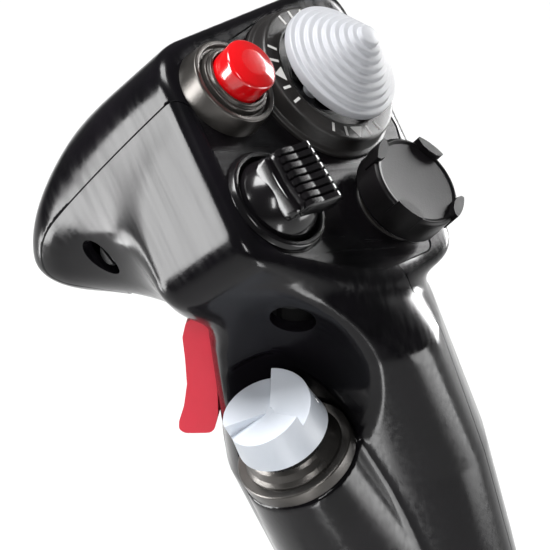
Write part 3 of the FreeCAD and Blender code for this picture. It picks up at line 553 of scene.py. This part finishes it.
def box_work(low, high):
    """A box between two corners."""
    outline = [(low[0], low[1]), (high[0], low[1]), (high[0], high[1]), (low[0], high[1])]
    return prism(outline, low[2], high[2])


SCREW_HOLES = (  # centre from the anchor, drilling axis, long direction, half length, half width
    ((-16.5, -23, -42.2), (-0.88, -0.12, -0.42), (0.2, -0.98, 0), 4.6, 4.3),
    ((-8.6, 19.5, -33.4), (-0.80, 0.55, 0.05), (-0.23, -0.76, -0.61), 4.5, 2.7),
)


def screw_wells():
    """The place and half sizes of each oval screw well, with z pointing out of the shell."""
    for centre, axis, along, half_long, half_short in SCREW_HOLES:
        axis, along = Vector(axis).normalized(), Vector(along)
        along = (along - axis * along.dot(axis)).normalized()
        turn = Matrix((along, axis.cross(along), axis)).transposed().to_4x4()
        yield Matrix.Translation(ANCHOR + Vector(centre)) @ turn, half_long, half_short


def screws():
    """A screw at the bottom of each well, its head crossed by a slot."""
    work = bmesh.new()
    for place, _, _ in screw_wells():
        head = [(0, -11.4), (1.4, -11.4), (1.4, -8), (2.6, -8), (2.6, -6.9), (2.1, -6.4), (0, -6.4)]
        merged(work, turned(head, 48), place)
    slots = bmesh.new()
    for place, _, _ in screw_wells():
        merged(slots, box_work((-3, -0.4, -7.1), (3, 0.4, -6)), place)
    mesh = carved(mesh_of(work), mesh_of(slots))
    place_piece("well_screws", "stick", "plate_steel", mesh, ["shell_screws"])


def grip():
    step = 0.75
    verts, faces = surface_net(shell_form, (-40, -92, -170), (62, 48, 44), step)
    whole = bpy.data.meshes.new("grip")
    whole.from_pydata((verts + np.array(ANCHOR)) * MM, [], faces.tolist())
    outline = filleted(PLATE_CORNERS, 3.2, steps=6)
    tools = prism(grown(outline, 0.32), -2.3, 20)
    merged(tools, prism(grown(outline, -3.2), -9, -2))
    tools.transform(FACE)
    merged(tools, prism(circle(8.4, 48), -16, 2), POD)
    anchored = Matrix.Translation(ANCHOR)
    merged(tools, box_work((-6.6, -15, -76.5), (6.6, 13, -43.5)), anchored)
    merged(tools, box_work((-8.1, -44, -159), (8.1, -4, -107)), anchored)
    for place, half_long, half_short in screw_wells():
        oval = [(x * half_long, y * half_short) for x, y in circle(1, 48)]
        merged(tools, prism(oval, -9, 9), place)
    cutter = mesh_of(tools)
    for name, side in (("grip_left", -1), ("grip_right", 1)):
        half = carved(grip_half(whole, side), cutter.copy())
        place_piece(name, "stick", "shell_black", half, ["shell_left" if side < 0 else "shell_right"], 40)


grip()
screws()

# ------------------------------------------------------------------ face and its controls


def face_panel():
    """The plate, with a hole under each control."""
    panel = prism(filleted(PLATE_CORNERS, 3, steps=6), -2.2, 0.1)
    soften(panel, 0.25)
    holes = bmesh.new()
    for place, radius in ((TRIM, 6), (CASTLE, 6), (BUTTON, 6.3), (BALL, 9.6)):
        merged(holes, prism(circle(radius), -5, 3), place)
    plate = carved(mesh_of(panel, FACE), mesh_of(holes))
    place_piece("face_panel", "stick", "face_black", plate, ["face_plate"])


def trim_switch():
    """The ring with its plain marks, and the hat that narrows in nine steps."""
    ring = filleted([(8, -0.5), (17.6, 0), (17.6, 0.9), (16.7, 1.3), (16.2, 4.8), (12.2, 4.8), (12, 1.7),
                     (8, 1.6)], (0, 0.1, 0.4, 0.5, 0.9, 0.5, 0.4, 0))
    built("trim_ring", "stick", "bezel_black", turned(ring), TRIM, 0, ["trim_bezel"])
    marks = bmesh.new()
    for quarter in range(4):
        turn = Matrix.Rotation(math.radians(90 * quarter), 4, "Z")
        arrow = [(13.0, -1.7), (15.6, 0), (13.0, 1.7)]
        merged(marks, prism(filleted(arrow, 0.15), 4.78, 4.86), turn)
        for side in (-2, -1, 1, 2):
            tick = [(13.2, -0.3), (15.4, -0.3), (15.4, 0.3), (13.2, 0.3)]
            aside = Matrix.Rotation(math.radians(13 * side), 4, "Z")
            merged(marks, prism(tick, 4.78, 4.86), turn @ aside)
    built("trim_marks", "stick", "legend_white", marks, TRIM)
    rim_radius, rim_height, tread, rise = 13.2, 9.5, 1.36, 1.14
    steps, radii = [(0, -7), (1.7, -7), (1.7, 7.3), (rim_radius, 7.3)], [0, 0, 0, 0.5]
    for count in range(9):
        radius, height = rim_radius - tread * count, rim_height + rise * count
        steps += [(radius, height), (radius - 1.16, height + 0.1)]
        radii += [0.42, 0.25]
    steps += [(0, rim_height + rise * 8 + 0.3)]
    radii += [0]
    hat = turned(filleted(steps, radii), 128)
    built("trim_hat_stepped", "trim_hat", "hat_grey", hat, TRIM, 0, ["trim_hat"])


def fire_switch():
    """The ring, stepped up towards the button, and the button with a hollow for its spring."""
    barrel = filleted([(6.3, -3), (10.1, -2), (10.1, 0.2), (9.6, 5), (8.5, 5), (8.2, 4.2), (7.7, 4.2),
                       (7.5, 5.5), (6.9, 5.5), (6.8, 6.3), (6.2, 6.3)],
                      (0, 0, 0.2, 0.45, 0.2, 0.15, 0.15, 0.25, 0.12, 0.25, 0.1))
    built("button_ring", "stick", "gunmetal", turned(barrel), BUTTON, 0, ["button_barrel"])
    cap = filleted([(0, -5), (1.7, -5), (1.7, 2.6), (4.9, 2.6), (4.9, 0.5), (5.8, 0.5), (5.9, 10.9),
                    (3, 11.55), (0, 11.7)], (0, 0, 0.2, 0.2, 0.1, 0.1, 0.9, 1.2, 0))
    built("button_cap", "fire_button", "button_red", turned(cap), BUTTON, 0, ["fire_button"])


def ridged_block(path, half_width, pitch, rise):
    """A solid whose back follows a path in x and z and carries round-backed ridges across y."""
    work = bmesh.new()
    columns = int(half_width * 2 / pitch) * 10
    rows = []
    for index, (x, z) in enumerate(path):
        before, after = path[max(index - 1, 0)], path[min(index + 1, len(path) - 1)]
        along = Vector((after[0] - before[0], after[1] - before[1])).normalized()
        row = []
        for column in range(columns + 1):
            y = -half_width + 2 * half_width * column / columns
            lift = rise * min(1.0, 2.2 * abs(math.sin(math.pi * (y + half_width) / pitch)))
            row.append(work.verts.new((x - along.y * lift, y, z + along.x * lift)))
        rows.append(row)
    floor_row = [[work.verts.new((row[0].co.x * 0.9, y, path[0][1] - 1.2)) for y in (-half_width, half_width)]
                 for row in rows]
    for first, last in zip(rows, rows[1:]):
        for column in range(columns):
            work.faces.new((first[column], last[column], last[column + 1], first[column + 1]))
    for (first, last), (low, next_low) in zip(zip(rows, rows[1:]), zip(floor_row, floor_row[1:])):
        work.faces.new((first[0], low[0], next_low[0], last[0]))
        work.faces.new((first[-1], last[-1], next_low[1], low[1]))
        work.faces.new((low[0], low[1], next_low[1], next_low[0]))
    for row, low in ((rows[0], floor_row[0]), (rows[-1], floor_row[-1])):
        work.faces.new(row + [low[1], low[0]])
    bmesh.ops.recalc_face_normals(work, faces=work.faces)
    return work


def ball_switch():
    """A ball in a ring, with a ridged saddle over its top and two ribs on one side."""
    ring = filleted([(9.7, -2), (11.5, -1), (11.5, 0.4), (10.9, 1.5), (9.9, 1.5), (9.6, 0.6)],
                    (0, 0, 0.3, 0.5, 0.3, 0.2))
    built("ball_bezel", "stick", "gloss_black", turned(ring), BALL, 0, ["ball_ring"])
    dome = [(0, 6.3), (0, 8.2)] + [(9.2 * math.sin(a), -1 + 9.2 * math.cos(a)) for a in
                                   (math.radians(angle) for angle in range(6, 126, 4))]
    dome += [(6.2, -6.2)] + [(7.2 * math.sin(a), -1 + 7.2 * math.cos(a)) for a in
                             (math.radians(angle) for angle in range(120, 4, -6))]
    built("ball_dome", "ball_hat", "gloss_black", turned(dome), BALL, 0, ["hat_ball"])
    turn = BALL @ Matrix.Rotation(math.radians(9), 4, "Z")
    over = filleted([(-3.6, 7.4), (-3.4, 9.9), (0.5, 9.7), (4.6, 10.5), (6.0, 9.2), (6.6, 6.2)],
                    (0, 0.6, 3, 1.2, 1.0, 0), closed=False)
    saddle = ridged_block(over, 6.7, 13.4 / 8, 0.75)
    for across, length, ridge, lift in ((-4.3, 5.4, 0.9, 0.9), (-5.5, 6.0, 0.5, 0.0)):
        flank = filleted([(-length, 6.2), (-length, 8.0), (0, 7.4), (length, 8.0), (length, 6.2)],
                         (0, 0.5, 4, 0.5, 0), closed=False)
        quarter = Matrix.Rotation(math.radians(90), 4, "Z")
        merged(saddle, ridged_block(flank, 0.6, 1.2, ridge), Matrix.Translation((across, 0, lift)) @ quarter)
    core = prism(filleted([(-6.0, -6.3), (6.0, -6.3), (6.0, 6.3), (-6.0, 6.3)], 1.2), 4.6, 8.0)
    soften(core, 0.5)
    merged(saddle, core)
    built("ridged_saddle", "ball_hat", "gloss_black", saddle, turn, 0, ["ridged_cap"], 40)


def castle_switch():
    """A cup with four lugs round its rim."""
    ring = filleted([(6, -1), (8, -1), (8, 0.5), (6, 0.5)], 0.15)
    built("castle_foot", "stick", "bezel_black", turned(ring), CASTLE, 0, ["castle_ring"])
    cup = filleted([(0, -7), (1.7, -7), (1.7, 2.6), (9.9, 2.6), (10.5, 3.3), (10.4, 9.1), (9.7, 9.7),
                    (8.9, 9.35), (0, 9.2)], (0, 0, 0.3, 0.4, 0.4, 0.6, 0.4, 0.5, 0))
    work = turned(cup)
    for quarter in range(4):
        lug = [(10.8 * math.cos(a), 10.8 * math.sin(a)) for a in
               (math.radians(angle) for angle in range(-17, 18, 2))]
        lug += [(9.6, 2.9), (8.8, 1.7), (8.6, 0), (8.8, -1.7), (9.6, -2.9)]
        bar = prism(filleted(lug, 0.3, steps=2), 6.4, 10.9)
        soften(bar, 0.5, 40)
        merged(work, bar, Matrix.Rotation(math.radians(45 + 90 * quarter), 4, "Z"))
    built("castle_cap", "castle_hat", "castle_black", work, CASTLE, 0, ["castle_hat"])


KNOB_TURN = 115      # where the first ramp starts, in degrees


def ramped_drum():
    """A drum whose top rises along three ramps, each ending in a step."""
    work = bmesh.new()
    sector, steps = math.radians(120), 28
    start = math.radians(KNOB_TURN)
    radii = (0.9, 3, 5, 7, 8.4, 9.1)

    def top(radius, share):
        return 11.8 + 3.0 * share * min(1, radius / 9) + 0.35 * (1 - radius / 9.1)

    for index in range(3):
        rows = []
        for step in range(steps + 1):
            share = step / steps
            angle = start + sector * (index + share)
            c, s = math.cos(angle), math.sin(angle)
            row = [work.verts.new((radius * c, radius * s, top(radius, share))) for radius in radii]
            row += [work.verts.new((9.1 * c, 9.1 * s, 11)), work.verts.new((9.8 * c, 9.8 * s, 5.6)),
                    work.verts.new((9.4 * c, 9.4 * s, 5.2)), work.verts.new((0.9 * c, 0.9 * s, 5.2))]
            rows.append(row)
        for first, last in zip(rows, rows[1:]):
            for a in range(len(first)):
                b = (a + 1) % len(first)
                work.faces.new((first[a], first[b], last[b], last[a]))
        work.faces.new(rows[0])
        work.faces.new(rows[-1])
    bmesh.ops.recalc_face_normals(work, faces=work.faces)
    edges = [edge for edge in work.edges if len(edge.link_faces) == 2
             and edge.calc_face_angle() > math.radians(30)
             and min(vert.co.z for vert in edge.verts) > 10]
    bmesh.ops.bevel(work, geom=edges, offset=0.5, segments=4, profile=0.5, affect="EDGES", clamp_overlap=True)
    return work


KNOB_SCREW = -70     # where the set screw sits, in degrees


def knob():
    """The seat, the bowl and the thumb knob on the pod."""
    seat = filleted([(8.7, -3), (12.3, -3), (12.3, -0.25), (12.05, 0), (8.7, 0)], (0, 0.2, 0.2, 0.2, 0))
    built("knob_flange", "stick", "gunmetal", turned(seat), POD, 0, ["knob_seat"])
    bowl = filleted([(5.6, 0), (10.4, 0), (10.3, 0.5), (9.6, 1.3), (8.9, 2.6), (8.3, 3.3), (5.6, 3.3)],
                    (0, 0.1, 0.3, 0.6, 0.8, 0.3, 0))
    built("knob_bowl", "stick", "gunmetal", turned(bowl), POD, 0, ["knob_bezel"])
    work = ramped_drum()
    merged(work, turned([(0, 5.2), (1.0, 5.2), (1.0, 12.2), (0, 12.2)], 24))
    merged(work, turned([(0, -9), (1.7, -9), (1.7, 5.4), (0, 5.4)], 32))
    built("ramped_knob", "side_knob", "knob_white", work, POD, 0, ["side_knob"], 34)
    socket = [(0, -0.6), (0.75, -0.6), (0.75, 0.12), (0.4, 0.12), (0.3, -0.3), (0, -0.3)]
    screw = turned(filleted(socket, 0.05), 24)
    heading = math.radians(KNOB_SCREW)
    outward = Vector((math.cos(heading), math.sin(heading), 0.06))
    place = POD @ Matrix.Translation(outward * 9.3 + Vector((0, 0, 8.6))) @ \
        outward.to_track_quat("Z", "Y").to_matrix().to_4x4()
    built("knob_set_screw", "side_knob", "turned_steel", screw, place)


# ------------------------------------------------------------------ trigger and paddle

TRIGGER_SIDE = ((9.5, 0.5), (10.4, -3), (10.2, -8), (10.2, -14), (11.2, -19.5), (12.4, -23), (12.6, -25),
                (11.4, -25.9), (5.4, -25.6), (4.2, -21), (4, -15), (2.5, -7), (-3, -4), (-4, 0),
                (-2.5, 4), (2, 4.6), (6, 3))
PADDLE_SIDE = ((-4, 0), (-2.8, -3), (1, -4), (8, -3.4), (12.5, 2), (17.5, 14), (21.5, 26), (26, 36),
               (26, 39), (23.5, 39.5), (21.5, 37), (17.5, 27), (13, 15), (8, 5), (0, 4), (-3, 3))
# x and y of a side outline become the model's y and z
SIDEWAYS = Matrix(((0, 0, 1, 0), (1, 0, 0, 0), (0, 1, 0, 0), (0, 0, 0, 1)))


def lever(name, body, look, side, half_width, rounding, place, node_name):
    """A lever cut from the side with generously rounded edges."""
    work = prism(filleted(side, 2.2, steps=4), -half_width, half_width)
    soften(work, rounding, 50, 5)
    built(name, body, look, work, place @ SIDEWAYS, 0, [node_name], 50)


# ------------------------------------------------------------------ base


def softened(name, node_name, look, body, width):
    """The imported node's own shape with every sharp edge rounded."""
    work = bmesh.new()
    work.from_mesh(nodes[node_name].data)
    bmesh.ops.remove_doubles(work, verts=work.verts, dist=2e-6)
    bmesh.ops.dissolve_limit(work, angle_limit=math.radians(0.6), verts=work.verts, edges=work.edges)
    work.transform(Matrix.Scale(1 / MM, 4))
    built(name, body, look, work, Matrix(), width, [node_name], 30)


face_panel()
trim_switch()
fire_switch()
ball_switch()
castle_switch()
knob()
lever("trigger_blade", "trigger", "trigger_red", TRIGGER_SIDE, 6, 1.6, TRIGGER, "trigger")
lever("paddle_blade", "paddle", "paddle_black", PADDLE_SIDE, 7.5, 1.1, PADDLE, "paddle")

for node_name, look, body, width in (
        ("base_housing", "housing_black", "base", 1.6), ("base_deck", "housing_black", "base", 0.7),
        ("base_plate", "plate_steel", "base", 0.6), ("rubber_feet", "foot_rubber", "base", 0.9),
        ("opening_ring", "anodised_metal", "base", 0.4), ("connector_collar", "anodised_metal", "stick", 0.5),
        ("ring_nut", "anodised_metal", "stick", 0.5)):
    softened(node_name + "_edged", node_name, look, body, width)

# ------------------------------------------------------------------ stage, light and camera


def area_light(name, towards, distance, across, height, power, sheen_only=False):
    """A soft box that faces the target; a sheen-only one shows in gloss and adds no flat light."""
    data = bpy.data.lights.new(name, "AREA")
    data.shape, data.size, data.size_y = "RECTANGLE", across, height
    data.energy = power
    lamp = bpy.data.objects.new(name, data)
    direction = Vector(towards).normalized()
    lamp.location = TARGET + direction * distance
    lamp.rotation_euler = direction.to_track_quat("Z", "Y").to_euler()
    lamp.visible_diffuse = not sheen_only
    lamp.visible_camera = False
    bpy.context.scene.collection.objects.link(lamp)


def floor():
    """The plain pale floor."""
    work = bmesh.new()
    bmesh.ops.create_grid(work, x_segments=24, y_segments=24, size=12)
    mesh = bpy.data.meshes.new("floor")
    work.to_mesh(mesh)
    work.free()
    mesh.materials.append(finish("floor_pale", (0.86, 0.86, 0.86), (0.90, 0.90, 0.90), (0.7, 0.8), patch=3,
                                 bump=0.02))
    made = bpy.data.objects.new("floor", mesh)
    made.location.z = -0.0005
    bpy.context.scene.collection.objects.link(made)


TARGET = Vector((0, 0.0368, 0.2346))
floor()
world = bpy.data.worlds.new("studio")
world.use_nodes = True
world.node_tree.nodes["Background"].inputs["Color"].default_value = (1, 1, 1, 1)
world.node_tree.nodes["Background"].inputs["Strength"].default_value = 0.10
bpy.context.scene.world = world
area_light("overhead", (0.1, 0.5, 1.2), 1.7, 0.8, 0.8, 46)
area_light("front_left", (-0.34, 0.91, 0.15), 0.7, 0.20, 0.6, 9, sheen_only=True)
area_light("back_right", (0.77, -0.62, 0.06), 0.9, 0.22, 0.6, 12, sheen_only=True)
area_light("camera_side", (-0.9, -0.2, 0.62), 1.0, 0.12, 0.4, 3.6)
area_light("back_low", (0.03, -0.95, -0.22), 0.6, 0.35, 0.2, 2, sheen_only=True)
area_light("front_low", (-0.05, 0.92, -0.28), 0.5, 0.1, 0.16, 0.9, sheen_only=True)
area_light("low_left", (-0.60, -0.26, -0.42), 0.32, 0.05, 0.16, 0.35, sheen_only=True)
bpy.context.scene.view_settings.view_transform = "Standard"

azimuth, elevation, roll = (math.radians(angle) for angle in (-80, 30, 3.5))
behind = Vector((math.sin(azimuth) * math.cos(elevation), -math.cos(azimuth) * math.cos(elevation),
                 math.sin(elevation)))
level = Vector((math.cos(azimuth), math.sin(azimuth), 0))
rise = behind.cross(level)
across = math.cos(roll) * level - math.sin(roll) * rise
upward = math.sin(roll) * level + math.cos(roll) * rise
lens = bpy.data.cameras.new("camera")
lens.sensor_width, lens.lens = 36, 229.09
camera = bpy.data.objects.new("camera", lens)
camera.matrix_world = Matrix.Translation(TARGET + behind * 0.7) @ \
    Matrix((across, upward, behind)).transposed().to_4x4()
bpy.context.scene.collection.objects.link(camera)
bpy.context.scene.camera = camera
